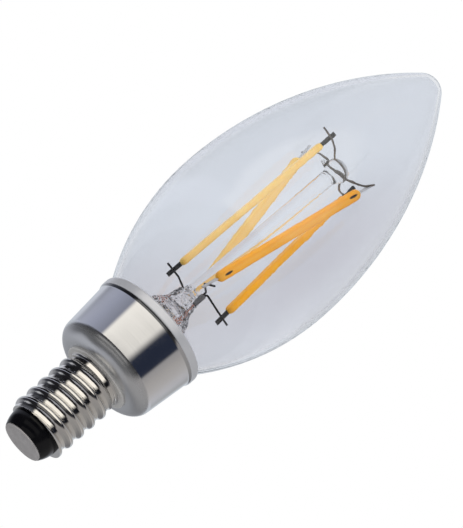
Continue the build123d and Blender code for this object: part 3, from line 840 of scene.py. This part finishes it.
press_turn = Matrix.Rotation(radians(-43.0), 3, "Z")
press_back = press_turn.inverted()
squeeze = 0.18
crease_depth = 0.24 * mm
pinch_depth = 0.17 * mm
fold_sink = 0.14 * mm
rod_wave = 0.012 * mm
lump_depth = 0.12 * mm
creases_per_metre = 700.0
pinches_per_metre = 1470.0
lumps_per_metre = 450.0
rod_waves = 3.0
drop_place = Vector((-2.2 * mm, -0.2 * mm, rod_top - 2.75 * mm))
drop_reach = 0.8 * mm
drop_pull = Vector((-1.1, 0.0, -0.25)) * mm
rod_lean = Vector((0.45, 0.0, 0.0)) * mm
for vert in work.verts:
    level = vert.co.z
    outside = level > press_roof + hair or vert.co.xy.length > tube_radius - 0.5 * stem_wall
    on_rod = ramp_up(level, press_top - 0.5 * mm, press_top + 0.4 * mm)
    on_bead = ramp_up(level, rod_top - 3.6 * mm, rod_top - 3.0 * mm)
    folded = (1.0 - on_rod) * ramp_up(level, fold_foot, fold_foot + 1.6 * mm) if outside else 0.0
    squeezed = (1.0 - on_rod) * ramp_up(level, press_roof + 0.5 * mm, press_roof + 1.7 * mm)
    flat = press_back @ vert.co
    flat.y *= 1.0 - squeeze * squeezed
    side = Vector((flat.x, flat.y, 0.0)).normalized()
    crease = crease_depth * ridge(flat * creases_per_metre)
    pinch = pinch_depth * ridge(flat * pinches_per_metre)
    push = folded * (crease + pinch - fold_sink)
    push += on_rod * rod_wave * noise.noise(side * rod_waves)
    push += on_bead * lump_depth * noise.noise(flat * lumps_per_metre)
    near = (vert.co - drop_place).length / drop_reach
    pull = drop_pull * max(1.0 - near * near, 0.0)
    lean = rod_lean * ramp_up(level, press_top - 1.5 * mm, press_top + 5.0 * mm)
    vert.co = press_turn @ (flat + side * push) + pull + lean


def seat(work, name, finish, stands_for):
    """Turn a bmesh into a smooth piece that stands for nodes of the solids."""
    mesh = bpy.data.meshes.new(name)
    work.to_mesh(mesh)
    work.free()
    mesh.polygons.foreach_set("use_smooth", [True] * len(mesh.polygons))
    mesh.set_sharp_from_angle(angle=radians(60.0))
    mesh.materials.append(finish)
    piece = bpy.data.objects.new(name, mesh)
    bpy.context.scene.collection.objects.link(piece)
    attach(piece, "root")
    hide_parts(*stands_for)
    print(name, "faces:", len(mesh.polygons))


seat(work, "fused_stem", finishes["stem_glass"], ["stem", "support_rod"])

# %% [markdown]
# ## The bridge wires
# Two thin wires pass through the bead and tie the strips together in pairs. They were bent by hand, so
# they sag and swing with no straight run. A curve with a round bevel is the natural wire in Blender. The
# line is a NURBS spline, which needs only a few points, and it becomes a mesh before it is seated.

# %% Bridge wires
bridge_radius = 0.18 * mm


def bent_wire(name, node, route):
    """A round wire along a smooth line that a few points in millimetres guide."""
    line = bpy.data.curves.new(name, "CURVE")
    line.dimensions = "3D"
    line.bevel_depth = bridge_radius
    line.bevel_resolution = 3
    line.use_fill_caps = True
    spline = line.splines.new("NURBS")
    spline.points.add(len(route) - 1)
    for point, place in zip(spline.points, route):
        point.co = (*(Vector(place) * mm), 1.0)
    spline.order_u = 3
    spline.use_endpoint_u = True
    spline.resolution_u = 10
    carrier = bpy.data.objects.new(name, line)
    mesh = bpy.data.meshes.new_from_object(carrier)
    bpy.data.objects.remove(carrier)
    bpy.data.curves.remove(line)
    work = bmesh.new()
    work.from_mesh(mesh)
    bpy.data.meshes.remove(mesh)
    bmesh.ops.recalc_face_normals(work, faces=work.faces)
    seat(work, name, finishes["bridge_metal"], [node])


bent_wire("bridge_wire_front_bent", "bridge_wire_front", [
    (-6.5, -6.7, 74.85), (-4.42, -6.42, 74.75), (-3.4, -5.3, 74.95), (-2.2, -2.9, 75.1), (-1.1, -0.9, 74.6),
    (0.0, -0.6, 74.9), (1.3, -0.6, 74.8), (2.2, -0.9, 74.05), (2.8, -1.5, 73.85), (3.9, -2.6, 74.0),
    (5.16, -3.4, 74.35), (5.77, -4.32, 74.64), (6.5, -5.5, 75.35),
])
bent_wire("bridge_wire_back_bent", "bridge_wire_back", [
    (-5.88, 6.98, 74.46), (-5.37, 5.57, 74.46), (-4.8, 4.2, 74.6), (-4.04, 3.0, 74.87), (-3.03, 1.9, 74.85),
    (-2.0, 0.9, 74.75), (-1.4, 0.6, 74.15), (-0.1, 0.55, 74.1), (0.9, 0.55, 74.5), (1.75, 0.6, 74.5),
    (2.3, 1.1, 73.6), (2.9, 2.3, 73.2), (3.5, 3.6, 73.55), (4.63, 4.64, 74.1), (5.76, 5.05, 74.1),
])

# %% [markdown]
# ## The light strips
# Each strip is a row of tiny chips under a coat of yellow silicone, and all four strips are one coat. The
# front and right strips are given deep orange tones, the left and back ones paler: these are painted light,
# lit and shaded copies of the one coat. The coat passes light on inside it, so it gets some subsurface
# scattering; its faint glow of its own colour is painted light that brightens the strips. A paler line
# along the middle is a painted highlight, and the ends are duller. A Mapping node turns Object coordinates
# into the strip's own: along, across and outward. That way one function draws all four strips, whichever
# way they lean. A UV map would do as well, but the solids have none.

# %% Strip frames
strip_facing = {"left": 190.0, "front": -62.0, "right": 20.0, "back": 110.0}


def box_middle(name):
    """Middle of a node's box."""
    low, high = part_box(name)
    return (low + high) / 2


def strip_axes(side):
    """Middle of a strip and its directions along, across and outward, from the places of its two tabs."""
    foot = box_middle("filament_" + side + "_lower_tab")
    head = box_middle("filament_" + side + "_upper_tab")
    facing = radians(strip_facing[side])
    along = (head - foot).normalized()
    outward = Vector((cos(facing), sin(facing), 0.0))
    outward = (outward - along * outward.dot(along)).normalized()
    return (foot + head) / 2, Matrix((along, outward.cross(along), outward)).transposed()


for side in strip_facing:
    print(side, "strip's middle in mm:", [round(v / mm, 2) for v in strip_axes(side)[0]])

# %% Strip coats
chip_pitch = 1.05 * mm
streak_edge = 0.5 * mm
streak_core = 0.15 * mm
dull_start = 13.8 * mm
dull_full = 15.8 * mm
bond_lift = 0.6
bond_reach = Vector((0.95, 0.26, 0.5)) * mm
bond_tone = (0.012, 0.007, 0.004)


def strip_coat(side, thin, thick, painted_streak, dull_end, bonds):
    """Silicone coat over a row of chips, drawn in the strip's own directions."""
    finish, tree, shader, _ = clouded("phosphor_" + side, thin, thick, 0.3, 0.48, 500.0)
    middle, axes = strip_axes(side)
    where = tree.nodes.new("ShaderNodeTexCoord")
    own = tree.nodes.new("ShaderNodeMapping")
    own.vector_type = "TEXTURE"
    own.inputs["Location"].default_value = middle
    own.inputs["Rotation"].default_value = axes.to_euler()
    split = tree.nodes.new("ShaderNodeSeparateXYZ")
    tree.links.new(where.outputs["Object"], own.inputs["Vector"])
    tree.links.new(own.outputs["Vector"], split.inputs[0])
    along = split.outputs["X"]
    across = split.outputs["Y"]
    row = tree.nodes.new("ShaderNodeMath")
    row.operation = "MULTIPLY"
    row.inputs[1].default_value = pi / chip_pitch
    wave = tree.nodes.new("ShaderNodeMath")
    wave.operation = "SINE"
    tree.links.new(along, row.inputs[0])
    tree.links.new(row.outputs[0], wave.inputs[0])
    colour = tone_of(shader)
    colour = lay_over(tree, colour, spread_mask(tree, wave.outputs[0], 0.2, 1.0, 0.3), thick)
    # Painted highlight: a paler line along the middle of the strip.
    colour = lay_over(tree, colour, spread_mask(tree, across, streak_edge, streak_core, 0.45), painted_streak)
    colour = lay_over(tree, colour, spread_mask(tree, along, dull_start, dull_full, 0.7), dull_end)
    for bond in bonds:
        mark = spot_mask(tree, own.outputs["Vector"], Vector((*bond, bond_lift)) * mm, bond_reach, 0.25)
        colour = lay_over(tree, colour, mark, bond_tone)
    tree.links.new(colour, shader.inputs["Base Color"])
    # Painted light: the coat's faint glow in its own colour brightens the strips.
    tree.links.new(colour, shader.inputs["Emission Color"])
    shader.inputs["Emission Strength"].default_value = 0.26
    shader.inputs["Specular IOR Level"].default_value = 0.35
    shader.inputs["Subsurface Weight"].default_value = 0.25
    shader.inputs["Subsurface Scale"].default_value = 0.6 * mm
    shader.inputs["Subsurface Radius"].default_value = (1.0, 0.6, 0.2)
    return finish


# Tones of thin coat, thick coat, painted highlight line and dull end, as painted light for each strip
deep_painted_tones = ((0.97, 0.42, 0.018), (0.93, 0.37, 0.008), (0.98, 0.5, 0.06), (0.72, 0.33, 0.01))
bright_painted_tones = ((1.0, 0.47, 0.01), (0.99, 0.42, 0.003), (1.0, 0.55, 0.05), (0.76, 0.36, 0.008))
pale_painted_tones = ((0.99, 0.67, 0.25), (0.97, 0.62, 0.19), (1.0, 0.70, 0.3), (0.75, 0.46, 0.05))
front_bonds = [(-13.5, 0.0), (14.05, 0.2)]
coats = {
    # The left and back strips take paler painted-light tones of the same coat as the front and right ones.
    "left": strip_coat("left", *pale_painted_tones, []),
    "front": strip_coat("front", *deep_painted_tones, front_bonds),
    "right": strip_coat("right", *bright_painted_tones, []),
    "back": strip_coat("back", *pale_painted_tones, []),
}
finishes["phosphor"] = coats["front"]
print("strip coats:", sorted(coats))

# %% [markdown]
# ## The hidden driver
# The collar hides a small board with a few components, and grey cement holds the glass in it. Little of
# this can be seen through the glass neck, so a plain finish with some grain is enough for each: a green
# board, dull black mouldings and a beige resistor. Image textures with printed marks would be wasted
# here.


# %% Driver finishes
def dull(name, first, second, low, high, patch, dent):
    """A dull moulded or cast surface: two close tones and a fine grain."""
    finish, tree, shader, cloud = clouded(name, first, second, low, high, patch)
    relief(tree, shader, cloud.outputs["Mask"], 0.4, dent)
    return finish


# Two tones, lowest and highest roughness, clouds per metre, depth of the grain
dull_surfaces = {
    "cement": ((0.66, 0.65, 0.62), (0.76, 0.75, 0.72), 0.8, 0.95, 2200.0, 6e-5),
    "board": ((0.10, 0.23, 0.12), (0.13, 0.28, 0.15), 0.45, 0.6, 800.0, 1e-5),
    "component_black": ((0.018, 0.018, 0.019), (0.03, 0.03, 0.031), 0.5, 0.65, 1800.0, 2e-5),
    "resistor_coat": ((0.45, 0.33, 0.2), (0.53, 0.4, 0.26), 0.4, 0.55, 900.0, 2e-5),
}
for name, recipe in dull_surfaces.items():
    finishes[name] = dull(name, *recipe)
print("driver finishes:", sorted(dull_surfaces))

# %% [markdown]
# ## Dress the solids
# Every node of the solids came with a slot that is named for what the node is made of or coated with, so
# a loop hands out the finishes by name. Picking them one by one would invite slips. Only the strips differ
# within their slot, and three tabs that are brighter than the others.

# %% Give every node its finish
for node in nodes.values():
    for slot in node.material_slots:
        slot.material = finishes[slot.material.name.split(".")[0]]
for side, coat in coats.items():
    nodes["filament_" + side].material_slots[0].material = coat
for tab in ("front_lower", "front_upper", "back_upper"):
    nodes["filament_" + tab + "_tab"].material_slots[0].material = finishes["bright_tab"]
print("dressed nodes:", len(nodes))
